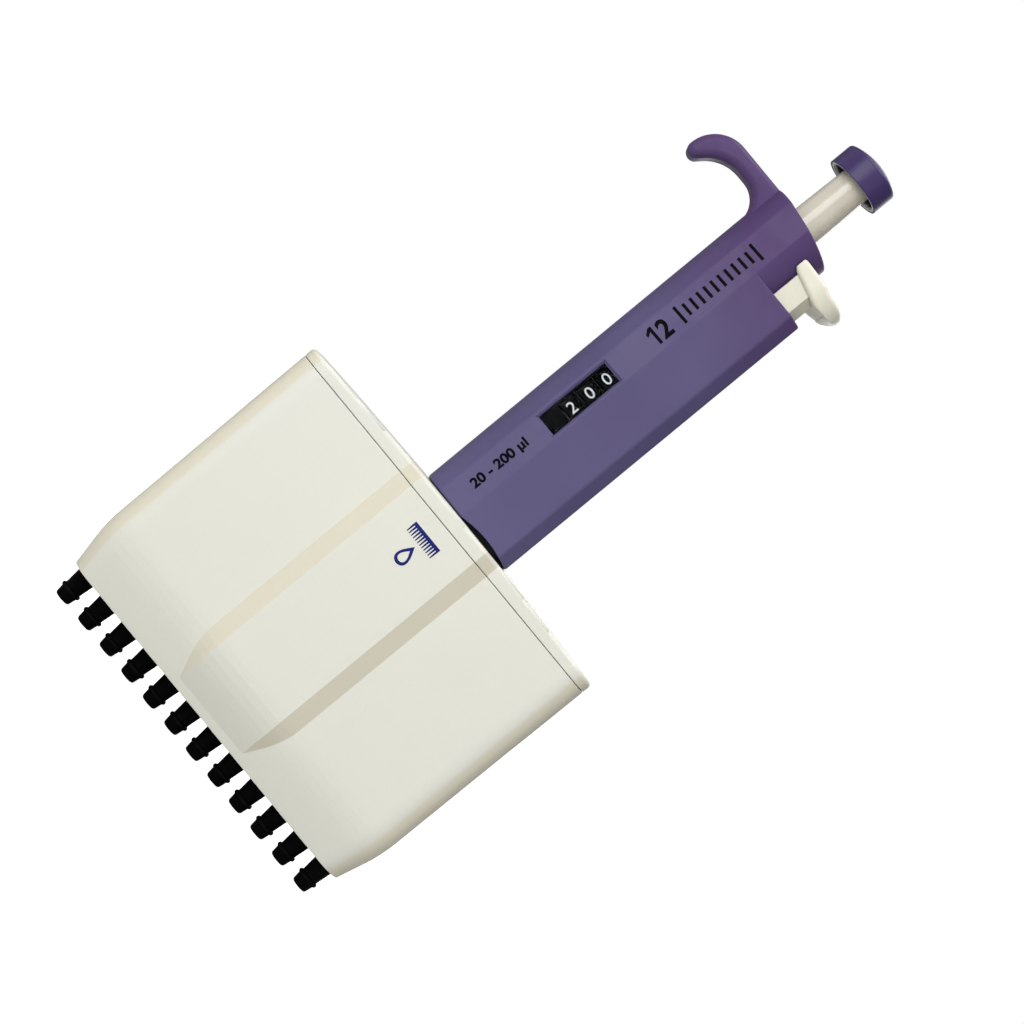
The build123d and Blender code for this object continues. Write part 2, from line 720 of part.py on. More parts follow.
def band_plan(proud=DEPTH_HALF + BAND_PROUD):
    """Plan of the raised band on the front: a plateau with a bevel at each side."""
    base = proud - BAND_PROUD
    with BuildSketch(mode=Mode.PRIVATE) as plan:
        with BuildLine():
            Polyline(
                (-BAND_FOOT, -base),
                (-BAND_HALF, -proud),
                (BAND_HALF, -proud),
                (BAND_FOOT, -base),
                (BAND_FOOT, 0),
                (-BAND_FOOT, 0),
                close=True,
            )
        make_face()
    return plan.sketch


with BuildPart() as manifold_shell:
    for low, high in zip(SHELL_LEVELS, SHELL_LEVELS[1:]):
        for z, half_w, half_d, corner in (low, high):
            with BuildSketch(Plane.XY.offset(z)):
                RectangleRounded(2 * half_w, 2 * half_d, corner)
        loft(ruled=True)
    for low, high in zip(BAND_LEVELS, BAND_LEVELS[1:]):
        for z, proud in (low, high):
            with BuildSketch(Plane.XY.offset(z)):
                add(band_plan(proud))
        loft(ruled=True)
    mirror(about=Plane.XZ)
    for low, high in zip(SHELL_LEVELS, SHELL_LEVELS[1:]):
        for z, half_w, half_d, corner in (low, high):
            wall = WALL_LOW if z == Z_SHELL else WALL
            with BuildSketch(Plane.XY.offset(z)):
                RectangleRounded(2 * (half_w - wall), 2 * (half_d - wall), corner - wall)
        loft(ruled=True, mode=Mode.SUBTRACT)
save(manifold_shell.part, "manifold_shell")

with BuildPart() as manifold_lid:
    with BuildSketch(Plane.XY.offset(Z_LID)) as lid_plan:
        RectangleRounded(2 * BODY_HALF, 2 * DEPTH_HALF, 7.5)
        add(band_plan())
        add(mirror(band_plan(), Plane.XZ))
    extrude(amount=Z_LID_TOP - Z_LID)
    # a gentle crown from end to end
    with BuildSketch(Plane.XZ):
        with BuildLine():
            ThreePointArc((-60.0, 94.3), (0, Z_LID_TOP), (60.0, 94.3))
            Polyline((60.0, 94.3), (60.0, 99.0), (-60.0, 99.0), (-60.0, 94.3))
        make_face()
    extrude(amount=20.0, both=True, mode=Mode.SUBTRACT)
    fillet(manifold_lid.faces().sort_by(Axis.Z)[-1].edges(), 1.2)
    # the tongue inside the shell, and the space under the lid
    with BuildSketch(Plane.XY.offset(Z_LID - 2.4)):
        RectangleRounded(2 * (BODY_HALF - WALL - 0.1), 2 * (DEPTH_HALF - WALL - 0.05), 5.4)
    extrude(amount=2.6)
    with BuildSketch(Plane.XY.offset(Z_LID - 2.4)):
        RectangleRounded(2 * (BODY_HALF - 2 * WALL), 2 * (DEPTH_HALF - 2 * WALL), 4.0)
    extrude(amount=4.0, mode=Mode.SUBTRACT)
    with BuildSketch(Plane.XY.offset(Z_LID - 2.4)):
        with GridLocations(*POST_GRID, 2, 2):
            Circle(2.0)
    extrude(amount=POST_TOP - Z_LID + 2.4, mode=Mode.SUBTRACT)
    with Locations((0, 0, Z_LID)):
        Hole(RING_R + 0.15)
save(manifold_lid.part, "manifold_lid")

HUB_LOW, HUB_HIGH = 70.0, 76.4
with BuildPart() as hub_plate:
    with BuildSketch(Plane.XY.offset(HUB_LOW)):
        RectangleRounded(68.0, 22.6, 3.0)
        Circle(TUBE_R + RUN, mode=Mode.SUBTRACT)
        with GridLocations(*POST_GRID, 2, 2):
            Circle(2.0, mode=Mode.SUBTRACT)
        with GridLocations(*PIN_GRID, 2, 2):
            Circle(1.2 + 0.1, mode=Mode.SUBTRACT)
    extrude(amount=HUB_HIGH - HUB_LOW)
save(hub_plate.part, "hub_plate")

PLATE_Z0, PLATE_Z1 = 33.0, 38.5
with BuildPart() as guide_posts:
    with BuildSketch(Plane.XY.offset(PLATE_Z1)):
        with GridLocations(*POST_GRID, 2, 2):
            Circle(2.0)
    extrude(amount=POST_TOP - PLATE_Z1)
save(guide_posts.part, "guide_posts")

with BuildPart() as cylinder_plate:
    with BuildSketch(Plane.XY.offset(PLATE_Z0)):
        RectangleRounded(109.6, 22.6, 5.0)
        with GridLocations(PITCH, 0, CHANNELS, 1):
            Circle(3.4, mode=Mode.SUBTRACT)
        with GridLocations(*POST_GRID, 2, 2):
            Circle(1.0, mode=Mode.SUBTRACT)
        with GridLocations(*PIN_GRID, 2, 2):
            Circle(1.2 + 0.1, mode=Mode.SUBTRACT)
    extrude(amount=PLATE_Z1 - PLATE_Z0)
save(cylinder_plate.part, "cylinder_plate")

with BuildPart() as plate_screws:
    with BuildSketch(Plane.XY.offset(PLATE_Z0 - 1.5)):
        with GridLocations(*POST_GRID, 2, 2):
            Circle(1.9)
    extrude(amount=1.5)
    with BuildSketch(Plane.XY.offset(PLATE_Z0 - 1.5)):
        with GridLocations(*POST_GRID, 2, 2):
            Circle(1.0)
    extrude(amount=PLATE_Z1 - PLATE_Z0 + 1.5)
save(plate_screws.part, "plate_screws")

with BuildPart() as seal_retainer:
    with BuildSketch(Plane.XY.offset(PLATE_Z1)):
        RectangleRounded(108.0, 8.0, 2.0)
        with GridLocations(PITCH, 0, CHANNELS, 1):
            Circle(2.45, mode=Mode.SUBTRACT)
    extrude(amount=0.8)
save(seal_retainer.part, "seal_retainer")

PISTON_R = 2.3
with BuildPart() as piston_seals:
    with BuildSketch(Plane.XY.offset(36.2)):
        with GridLocations(PITCH, 0, CHANNELS, 1):
            Circle(3.0)
        with GridLocations(PITCH, 0, CHANNELS, 1):
            Circle(PISTON_R + 0.03, mode=Mode.SUBTRACT)
    extrude(amount=2.2)
save(piston_seals.part, "piston_seals")

# each nozzle is a tip cone and its cylinder in one piece
RING_Z, RING_MEAN, RING_WIRE = 3.2, 2.63, 0.62
with BuildPart() as nozzle:
    with BuildSketch(Plane.XZ):
        with BuildLine():
            Polyline(
                (1.0, 0), (2.1, 0), (2.42, 0.35), (2.75, 2.55), (2.3, 2.55), (2.3, 3.85), (2.66, 3.85),
                (3.2, 9.4), (3.2, 14.0), (3.6, 14.6), (3.6, 30.0), (4.3, 30.4), (4.3, PLATE_Z0),
                (3.4, PLATE_Z0), (3.4, PLATE_Z1), (3.0, PLATE_Z1), (3.0, 36.2), (2.45, 36.2),
                (2.45, 16.0), (1.0, 14.0), close=True,
            )
        make_face()
    revolve(axis=Axis.Z)
for number, x in enumerate(NOZZLE_X, start=1):
    save(Pos(x, 0, 0) * nozzle.part, f"nozzle_{number:02d}")

with BuildPart() as nozzle_orings:
    with BuildSketch(Plane.XZ):
        with Locations((RING_MEAN, RING_Z)):
            Circle(RING_WIRE)
        with Locations((1.3, RING_Z)):
            Rectangle(2.0, 3.0, mode=Mode.SUBTRACT)
    revolve(axis=Axis.Z)
orings = Compound(children=[Pos(x, 0, 0) * nozzle_orings.part.solid() for x in NOZZLE_X])
save(orings, "nozzle_orings")

# ---- piston rack ----------------------------------------------------------------------
RACK_LOW = 55.0
RACK_SCREW_GRID = (72.0, 15.0)
with BuildPart() as rack_plate:
    with BuildSketch(Plane.XY.offset(RACK_LOW)):
        RectangleRounded(107.0, 22.0, 4.0)
        with GridLocations(PITCH, 0, CHANNELS, 1):
            Circle(PISTON_R, mode=Mode.SUBTRACT)
        with GridLocations(*POST_GRID, 2, 2):
            Circle(2.0 + 0.08, mode=Mode.SUBTRACT)
        with GridLocations(*PIN_GRID, 2, 2):
            Circle(1.2 + 0.2, mode=Mode.SUBTRACT)
        with GridLocations(*RACK_SCREW_GRID, 2, 2):
            Circle(0.9, mode=Mode.SUBTRACT)
    extrude(amount=4.0)
save(rack_plate.part, "rack_plate")

PISTON_LOW = 34.2
with BuildPart() as pistons:
    with BuildSketch(Plane.XY.offset(PISTON_LOW)):
        with GridLocations(PITCH, 0, CHANNELS, 1):
            Circle(PISTON_R)
    extrude(amount=RACK_LOW + 4.0 - PISTON_LOW)
    with BuildSketch(Plane.XY.offset(RACK_LOW + 4.0)):
        with GridLocations(PITCH, 0, CHANNELS, 1):
            Circle(3.3)
    extrude(amount=1.5)
save(pistons.part, "pistons")

with BuildPart() as piston_clamp:
    with BuildSketch(Plane.XY.offset(RACK_LOW + 5.5)):
        RectangleRounded(107.0, 19.0, 4.0)
        with GridLocations(*POST_GRID, 2, 2):
            Circle(2.5, mode=Mode.SUBTRACT)
        with GridLocations(*PIN_GRID, 2, 2):
            Circle(1.2 + 0.3, mode=Mode.SUBTRACT)
        with GridLocations(*RACK_SCREW_GRID, 2, 2):
            Circle(0.9, mode=Mode.SUBTRACT)
    extrude(amount=1.2)
save(piston_clamp.part, "piston_clamp")

with BuildPart() as rack_screws:
    with BuildSketch(Plane.XY.offset(RACK_LOW + 6.7)):
        with GridLocations(*RACK_SCREW_GRID, 2, 2):
            Circle(1.7)
    extrude(amount=1.4)
    with BuildSketch(Plane.XY.offset(RACK_LOW + 0.5)):
        with GridLocations(*RACK_SCREW_GRID, 2, 2):
            Circle(0.9)
    extrude(amount=7.6)
save(rack_screws.part, "rack_screws")

# a slotted cup that lets the rod turn while it pulls and pushes the rack
CUP_LOW = RACK_LOW + 6.7
with BuildPart() as rod_coupling:
    with BuildSketch(Plane.XY.offset(CUP_LOW)):
        Circle(6.2)
    extrude(amount=66.1 - CUP_LOW)
    with BuildSketch(Plane.XY.offset(ROD_END - 0.05)):
        Circle(4.0 + RUN)
        with Locations((0, -4.5)):
            Rectangle(2 * (4.0 + RUN), 9.0)
    extrude(amount=1.7, mode=Mode.SUBTRACT)
    with BuildSketch(Plane.XY.offset(ROD_END)):
        Circle(2.5 + RUN)
        with Locations((0, -4.5)):
            Rectangle(2 * (2.5 + RUN), 9.0)
    extrude(amount=6.0, mode=Mode.SUBTRACT)
save(rod_coupling.part, "rod_coupling")
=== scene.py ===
"""Looks of a twelve-channel manual pipette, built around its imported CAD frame.

Metres, in the frame's axes: +Z up the plunger axis, +X towards the ejector button, -Y the front.
"""

import json
import math

import bmesh
import bpy
from mathutils import Matrix, Vector

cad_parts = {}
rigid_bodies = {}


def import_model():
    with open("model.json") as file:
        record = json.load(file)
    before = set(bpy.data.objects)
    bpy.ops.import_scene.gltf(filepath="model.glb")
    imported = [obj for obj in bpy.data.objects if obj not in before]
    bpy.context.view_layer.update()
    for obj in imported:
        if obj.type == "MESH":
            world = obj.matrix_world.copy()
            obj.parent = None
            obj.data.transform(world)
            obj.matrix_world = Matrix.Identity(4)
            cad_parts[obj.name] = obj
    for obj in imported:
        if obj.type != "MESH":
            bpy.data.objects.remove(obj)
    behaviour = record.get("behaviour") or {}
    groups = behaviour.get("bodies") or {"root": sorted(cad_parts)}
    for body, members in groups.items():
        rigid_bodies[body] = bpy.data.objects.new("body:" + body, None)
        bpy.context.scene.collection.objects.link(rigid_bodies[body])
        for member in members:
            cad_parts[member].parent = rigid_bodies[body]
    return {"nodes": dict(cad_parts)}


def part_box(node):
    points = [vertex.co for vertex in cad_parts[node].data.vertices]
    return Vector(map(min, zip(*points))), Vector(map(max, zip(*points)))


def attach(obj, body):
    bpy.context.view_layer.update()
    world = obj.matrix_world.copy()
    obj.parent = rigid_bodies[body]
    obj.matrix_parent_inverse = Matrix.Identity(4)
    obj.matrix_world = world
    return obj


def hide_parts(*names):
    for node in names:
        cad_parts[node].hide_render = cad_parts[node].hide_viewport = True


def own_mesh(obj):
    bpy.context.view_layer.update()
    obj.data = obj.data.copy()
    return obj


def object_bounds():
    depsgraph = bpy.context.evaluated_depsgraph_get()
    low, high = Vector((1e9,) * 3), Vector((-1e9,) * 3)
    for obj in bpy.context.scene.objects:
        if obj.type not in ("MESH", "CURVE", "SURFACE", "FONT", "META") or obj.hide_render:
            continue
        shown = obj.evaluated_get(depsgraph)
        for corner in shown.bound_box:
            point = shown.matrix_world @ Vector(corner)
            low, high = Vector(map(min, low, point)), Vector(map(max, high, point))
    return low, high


for stray in list(bpy.data.objects):
    bpy.data.objects.remove(stray)

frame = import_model()
cad_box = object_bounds()
scene = bpy.context.scene
MM = 0.001
CHANNELS = 12


# ---- materials ---------------------------------------------------------------------------
class Finish:
    """A node material under construction, with the few node patterns that every finish uses."""

    def __init__(self, name):
        self.material = bpy.data.materials.new(name)
        self.material.use_nodes = True
        self.tree = self.material.node_tree
        self.shader = self.tree.nodes["Principled BSDF"]
        self.coords = self.add("ShaderNodeTexCoord").outputs["Object"]

    def add(self, kind, inputs=None, **settings):
        """A node of this kind, its sockets linked to outputs or set to plain values."""
        made = self.tree.nodes.new(kind)
        for key, value in settings.items():
            setattr(made, key, value)
        for key, value in (inputs or {}).items():
            self.feed(made.inputs[key], value)
        return made

    def feed(self, socket, value):
        if isinstance(value, bpy.types.NodeSocket):
            self.tree.links.new(value, socket)
        elif socket.type == "RGBA" and len(value) == 3:
            socket.default_value = (*value, 1.0)
        else:
            socket.default_value = value

    def set(self, **values):
        """Feeds the main shader's sockets, named with underscores for spaces."""
        for key, value in values.items():
            self.feed(self.shader.inputs[key.replace("_", " ")], value)

    def noise(self, scale, detail=3.0, stretch=(1.0, 1.0, 1.0), distortion=0.0):
        """Noise whose features are about 1/scale metres wide, drawn out along the short stretches."""
        place = self.add("ShaderNodeMapping", {"Vector": self.coords, "Scale": stretch})
        made = self.add(
            "ShaderNodeTexNoise",
            {"Vector": place.outputs[0], "Scale": scale, "Detail": detail, "Distortion": distortion},
        )
        return made.outputs["Fac"]

    def spread(self, value, low, high, out_low=0.0, out_high=1.0):
        """The value's span from low to high, mapped smoothly onto another span."""
        return self.add(
            "ShaderNodeMapRange",
            {"Value": value, "From Min": low, "From Max": high, "To Min": out_low, "To Max": out_high},
            interpolation_type="SMOOTHSTEP",
        ).outputs["Result"]

    def calc(self, a, b, operation="ADD"):
        """The sum of two values, or what another operation makes of them."""
        return self.add("ShaderNodeMath", {0: a, 1: b}, operation=operation).outputs[0]

    def mix(self, amount, a, b):
        """Colour a, turning into colour b as amount goes from 0 to 1."""
        made = self.add("ShaderNodeMix", data_type="RGBA")
        self.feed(made.inputs["Factor"], amount)
        self.feed(made.inputs[6], a)
        self.feed(made.inputs[7], b)
        return made.outputs[2]

    def soft_edges(self, radius):
        """A normal that rounds sharp edges over by the radius."""
        return self.add("ShaderNodeBevel", {"Radius": radius}, samples=4).outputs[0]

    def edge_mask(self, rounded):
        """1 along outer and inner edges and 0 on open faces."""
        flat = self.add("ShaderNodeNewGeometry").outputs["Normal"]
        alike = self.add("ShaderNodeVectorMath", {0: rounded, 1: flat}, operation="DOT_PRODUCT")
        return self.spread(alike.outputs["Value"], 0.995, 0.86)

    def bump(self, height, depth, normal=None):
        """A normal with the height pattern pressed into it, depth in metres."""
        made = self.add("ShaderNodeBump", {"Height": height, "Distance": depth, "Strength": 1.0})
        if normal is not None:
            self.feed(made.inputs["Normal"], normal)
        return made.outputs[0]


def scaled(colour, factor):
    """The colour made lighter or darker by a factor."""
    return tuple(min(1.0, channel * factor) for channel in colour)


PLASTIC_EDGE = 0.45 * MM           # how far each kind of edge is rounded over in the shading
METAL_EDGE = 0.25 * MM
RUBBER_EDGE = 0.12 * MM
LENS_EDGE = 0.15 * MM
HIGH_FROM, HIGH_TO = 150.0 * MM, 212.0 * MM    # heights over which a plastic takes on its high tone
SHADE_SIDE_FROM, SHADE_SIDE_TO = 0.35, 0.52    # the same for its painted shade on faces that look along the nozzle row, as the normal's share along X


def moulded(
    name, colour, drift, rough, depth=0.012, wear=0.25, glow=0.0, sheen=0.5, smears=1.0,
    high=None, painted_side_shade=None,
):
    """Moulded plastic: a slow drift of tone, fine spark texture, handling smudges and paler edges.

    high is the tone that it takes on towards the top of the handle, and side is the painted shade, darker
    and warmer, of the faces that look along the nozzle row.  depth is that of its texture, in
    millimetres."""
    f = Finish(name)
    cloud = f.spread(f.noise(16.0, 2.0), 0.35, 0.68)
    body = f.mix(cloud, colour, drift)
    if high is not None:
        height = f.add("ShaderNodeSeparateXYZ", {0: f.coords}).outputs["Z"]
        body = f.mix(f.spread(height, HIGH_FROM, HIGH_TO), body, high)
    # painted shade: faces that look along the nozzle row turn darker and warmer, as if the light fell on
    # them at a slant
    if painted_side_shade is not None:
        facing = f.add("ShaderNodeTexCoord").outputs["Normal"]
        across = f.add("ShaderNodeSeparateXYZ", {0: facing}).outputs["X"]
        body = f.mix(f.spread(f.calc(across, 0.0, "ABSOLUTE"), SHADE_SIDE_FROM, SHADE_SIDE_TO), body, painted_side_shade)
    fleck = f.spread(f.noise(2600.0, 2.0), 0.56, 0.72, 0.0, 0.22)
    body = f.mix(fleck, body, scaled(colour, 0.78))
    rounded = f.soft_edges(PLASTIC_EDGE)
    patchy = f.spread(f.noise(240.0, 4.0), 0.38, 0.62)
    worn = f.calc(f.calc(f.edge_mask(rounded), patchy, "MULTIPLY"), wear, "MULTIPLY")
    body = f.mix(worn, body, scaled(colour, 1.45))
    smudge = f.spread(f.noise(75.0, 5.0, distortion=1.2), 0.42, 0.66, -0.05 * smears, 0.09 * smears)
    hairline = f.spread(f.noise(900.0, 3.0, stretch=(1.0, 1.0, 0.03)), 0.66, 0.74, 0.0, 0.12)
    gloss = f.calc(f.calc(smudge, hairline), rough)
    gloss = f.calc(gloss, f.calc(worn, -0.25, "MULTIPLY"))
    texture = f.calc(f.noise(1500.0, 3.0), f.calc(f.noise(360.0, 2.0), 0.6, "MULTIPLY"))
    f.set(
        Base_Color=body,
        Roughness=gloss,
        Normal=f.bump(texture, depth * MM, rounded),
        Specular_IOR_Level=sheen,
        Subsurface_Weight=glow,
        Subsurface_Radius=(1.0, 0.8, 0.55),
        Subsurface_Scale=1.5 * MM,
    )
    return f.material


def machined(name, colour, rough, lay, tarnish=0.12):
    """Cut metal: fine tool lines along one lay, slight tarnish and brighter edges.

    lay is how many lines there are to a metre along each axis."""
    f = Finish(name)
    lines = f.noise(1.0, 3.0, stretch=lay)
    bands = f.noise(0.2, 2.0, stretch=lay)
    stain = f.spread(f.noise(130.0, 4.0, distortion=0.8), 0.45, 0.72, 0.0, tarnish * 3.0)
    tone = f.mix(f.spread(lines, 0.3, 0.7), scaled(colour, 0.82), colour)
    tone = f.mix(stain, tone, scaled(colour, 0.55))
    rounded = f.soft_edges(METAL_EDGE)
    edge = f.calc(f.edge_mask(rounded), 0.6, "MULTIPLY")
    tone = f.mix(edge, tone, scaled(colour, 1.25))
    gloss = f.calc(f.spread(bands, 0.3, 0.7, -0.06, 0.1), f.calc(f.calc(stain, 0.5, "MULTIPLY"), rough))
    f.set(
        Base_Color=tone,
        Metallic=1.0,
        Roughness=gloss,
        Normal=f.bump(lines, 0.004 * MM, rounded),
    )
    return f.material


def rubber(name, colour, rough=0.72):
    """Matt rubber with a bloom of dust and a faintly pebbled skin."""
    f = Finish(name)
    dust = f.spread(f.noise(420.0, 4.0), 0.5, 0.75, 0.0, 0.3)
    bloom = tuple(0.5 * channel + 0.004 for channel in colour)
    f.set(
        Base_Color=f.mix(dust, colour, bloom),
        Roughness=f.calc(f.spread(f.noise(160.0), 0.35, 0.65, -0.08, 0.08), rough),
        Normal=f.bump(f.noise(2400.0, 3.0), 0.01 * MM, f.soft_edges(RUBBER_EDGE)),
        Specular_IOR_Level=0.05,
    )
    return f.material


def printed(name, colour, rough=0.42):
    """Pad-printed ink: nearly even, with pinholes and a thin gloss."""
    f = Finish(name)
    pinhole = f.spread(f.noise(4200.0, 2.0), 0.66, 0.76, 0.0, 0.3)
    patch = f.spread(f.noise(500.0, 3.0), 0.35, 0.65, 0.0, 0.35)
    ink = f.mix(patch, colour, tuple(0.75 * channel + 0.001 for channel in colour))
    ink = f.mix(pinhole, ink, tuple(0.6 * channel + 0.012 for channel in colour))
    f.set(
        Base_Color=ink,
        Roughness=f.calc(f.spread(f.noise(900.0), 0.35, 0.65, -0.08, 0.1), rough),
        Normal=f.bump(f.noise(3000.0, 2.0), 0.004 * MM),
        Specular_IOR_Level=0.02,
    )
    return f.material


def clear_lens(name):
    """Clear polycarbonate: mostly see-through, with a mirror that grows at grazing angles."""
    f = Finish(name)
    f.tree.nodes.remove(f.shader)
    ripple = f.bump(f.noise(150.0, 2.0), 0.01 * MM, f.soft_edges(LENS_EDGE))
    scuff = f.spread(f.noise(1200.0, 4.0, stretch=(1.0, 1.0, 0.05)), 0.58, 0.74, 0.03, 0.3)
    haze = f.spread(f.noise(300.0, 4.0), 0.4, 0.7, 0.0, 0.001)
    clear = f.add("ShaderNodeBsdfTransparent", {"Color": (0.93, 0.95, 0.96)})
    mirror = f.add("ShaderNodeBsdfAnisotropic", {"Roughness": scuff, "Normal": ripple})
    edge_on = f.add("ShaderNodeFresnel", {"IOR": 1.45, "Normal": ripple})
    share = f.calc(f.calc(edge_on.outputs[0], 0.03, "MULTIPLY"), haze)
    both = f.add("ShaderNodeMixShader", {0: share, 1: clear.outputs[0], 2: mirror.outputs[0]})
    output = f.tree.nodes["Material Output"]
    f.tree.links.new(both.outputs[0], output.inputs["Surface"])
    return f.material


PURPLE = (0.100, 0.088, 0.188)
DEEP_PURPLE = (0.048, 0.029, 0.108)
CREAM = (0.675, 0.670, 0.594)
IVORY = (0.70, 0.675, 0.555)
STONE = (0.595, 0.55, 0.455)
WHITE = (0.80, 0.80, 0.77)
SLATE = (0.045, 0.050, 0.080)
COAL = (0.004, 0.004, 0.005)
BLACK = (0.002, 0.002, 0.0025)
DUSTY_BLACK = (0.003, 0.003, 0.0035)
ALONG_Z = (90.0, 90.0, 3200.0)     # tool lines that run round an upright part
ALONG_X = (60.0, 2600.0, 2600.0)   # tool lines that run along the nozzle row
finishes = {
    "purple_plastic": moulded(
        "purple_finish", PURPLE, (0.084, 0.070, 0.160), 0.42, wear=0.2, sheen=0.14,
        high=(0.076, 0.043, 0.130),
    ),
    "cap_plastic": moulded(
        "cap_finish", DEEP_PURPLE, (0.043, 0.027, 0.100), 0.34, wear=0.05, sheen=0.25, smears=0.4
    ),
    "cream_plastic": moulded(
        "cream_finish", CREAM, (0.666, 0.665, 0.603), 0.36, depth=0.006, glow=0.06, sheen=0.35,
        # painted shade for the faces that look along the nozzle row
        painted_side_shade=(0.658, 0.622, 0.505),
    ),
    "ejector_plastic": moulded("ejector_finish", IVORY, (0.67, 0.65, 0.545), 0.34, glow=0.17),
    "stem_plastic": moulded(
        "stem_finish", STONE, (0.575, 0.535, 0.45), 0.18, wear=0.0, glow=0.1, smears=0.2
    ),
    "white_plastic": moulded("white_finish", WHITE, (0.74, 0.74, 0.72), 0.40),
    "slate_plastic": moulded("slate_finish", SLATE, (0.035, 0.040, 0.065), 0.45, sheen=0.3),
    "dark_plastic": moulded("dark_finish", COAL, (0.006, 0.006, 0.007), 0.5, sheen=0.1),
    "black_plastic": moulded("black_finish", BLACK, DUSTY_BLACK, 0.55, wear=0.0, sheen=0.0),
    "nozzle_plastic": moulded("nozzle_finish", BLACK, DUSTY_BLACK, 0.42, wear=0.0, sheen=0.02),
    "nozzle_rubber": rubber("nozzle_rubber_finish", (0.0025, 0.0025, 0.0025)),
    "seal_rubber": rubber("seal_rubber_finish", (0.62, 0.61, 0.58)),
    "window": clear_lens("window_finish"),
    "aluminium": machined("aluminium_finish", (0.72, 0.72, 0.73), 0.30, ALONG_X),
    "steel": machined("steel_finish", (0.56, 0.56, 0.57), 0.24, ALONG_Z),
    "brass": machined("brass_finish", (0.74, 0.56, 0.26), 0.26, ALONG_Z, tarnish=0.2),
}
black_ink = printed("black_ink", (0.002, 0.0018, 0.003))
white_ink = printed("white_ink", (0.92, 0.92, 0.90), 0.5)
blue_ink = printed("blue_ink", (0.016, 0.024, 0.150))

for cad_node in frame["nodes"].values():
    for place in cad_node.material_slots:
        place.material = finishes[place.material.name.split(".")[0]]


# ---- mesh helpers ------------------------------------------------------------------------
SHARP_ANGLE = math.radians(35.0)   # edges that fold by more than this stay sharp


def piece(name, bm, finish, body, smooth=True):
    """A new object from the mesh under construction, riding on a CAD body."""
    mesh = bpy.data.meshes.new(name)
    bmesh.ops.recalc_face_normals(bm, faces=bm.faces)
    bm.to_mesh(mesh)
    bm.free()
    for face in mesh.polygons:
        face.use_smooth = smooth
    if smooth:
        mesh.set_sharp_from_angle(angle=SHARP_ANGLE)
    mesh.materials.append(finish)
    made = bpy.data.objects.new(name, mesh)
    scene.collection.objects.link(made)
    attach(made, body)
    return made


def lettering(text, weight=0.0):
    """Flat characters of unit size in the XY plane, as a closed slab of unit thickness.

    weight is how far their outlines are moved outwards."""
    curve = bpy.data.curves.new("lettering", "FONT")
    curve.body = text
    curve.extrude = 0.5
    curve.offset = weight
    curve.resolution_u = 6
    holder = bpy.data.objects.new("lettering", curve)
    scene.collection.objects.link(holder)
    bpy.context.view_layer.update()
    mesh = bpy.data.meshes.new_from_object(holder.evaluated_get(bpy.context.evaluated_depsgraph_get()))
    bpy.data.objects.remove(holder)
    bm = bmesh.new()
    bm.from_mesh(mesh)
    bpy.data.meshes.remove(mesh)
    bmesh.ops.remove_doubles(bm, verts=bm.verts, dist=1e-5)
    bmesh.ops.triangulate(bm, faces=bm.faces)
    return bm


def extents(bm):
    """Lowest and highest x and y of a flat mesh."""
    xs = [v.co.x for v in bm.verts]
    ys = [v.co.y for v in bm.verts]
    return min(xs), max(xs), min(ys), max(ys)


def slice_up(bm, step):
    """Cuts a flat mesh across y at even steps, so that it can be bent about x."""
    low, high = extents(bm)[2:]
    for i in range(1, math.ceil((high - low) / step)):
        everything = [*bm.verts, *bm.edges, *bm.faces]
        bmesh.ops.bisect_plane(bm, geom=everything, plane_co=(0, low + i * step, 0), plane_no=(0, 1, 0))


def prism(bm, outline, thickness, holes=()):
    """A closed slab from an outline in the XY plane, with loops of the same length cut out of it."""
    loops = [outline, *holes]
    levels = []
    for z in (-thickness / 2, thickness / 2):
        levels.append([[bm.verts.new((x, y, z)) for x, y in loop] for loop in loops])
    for low, high in zip(*levels):
        count = len(low)
        for i in range(count):
            bm.faces.new((low[i], low[(i + 1) % count], high[(i + 1) % count], high[i]))
    for level in levels:
        if holes:
            outer, inner = level
            count = len(outer)
            for i in range(count):
                bm.faces.new((outer[i], outer[(i + 1) % count], inner[(i + 1) % count], inner[i]))
        else:
            bm.faces.new(level[0])


def frame_matrix(origin, right, up, out):
    """Places a flat drawing: its x along right, its y along up and its z along out."""
    turn = Matrix((right, up, out)).transposed().to_4x4()
    return Matrix.Translation(origin) @ turn


# ---- the window facet, taken from the lens that lies in it -------------------------------
FACET_TURN = math.radians(14.0)    # the facet is turned this far to the left of the front
FACET_OUT = Vector((-math.sin(FACET_TURN), -math.cos(FACET_TURN), 0.0))
FACET_RUN = Vector((math.cos(FACET_TURN), -math.sin(FACET_TURN), 0.0))
UP = Vector((0.0, 0.0, 1.0))
LENS_SINK = 1.025 * MM             # from the middle of the lens out to the facet
lens_low, lens_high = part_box("counter_lens")
facet_middle = (lens_low + lens_high) / 2 + FACET_OUT * LENS_SINK
PRINT_PROUD = 0.03 * MM


def facet_matrix(z):
    """Places a flat drawing on the window facet at this height, so that it reads upwards."""
    spot = Vector((facet_middle.x, facet_middle.y, z))
    return frame_matrix(spot, UP, -FACET_RUN, FACET_OUT)


def facet_print(name, bm, low_z, high_z, height):
    """Black print up the window facet between two heights, from a flat drawing."""
    x0, x1, y0, y1 = extents(bm)
    grow_x = (high_z - low_z) / (x1 - x0)
    grow_y = height / (y1 - y0)
    for v in bm.verts:
        v.co = Vector((
            (v.co.x - (x0 + x1) / 2) * grow_x,
            (v.co.y - (y0 + y1) / 2) * grow_y,
            v.co.z * 2 * PRINT_PROUD,
        ))
    bm.transform(facet_matrix((low_z + high_z) / 2))
    piece(name, bm, black_ink, "handle", smooth=False)


facet_print(
    "range_print", lettering("20 - 200 µl", 0.035), low_z=103.4 * MM, high_z=121.8 * MM, height=3.6 * MM
)


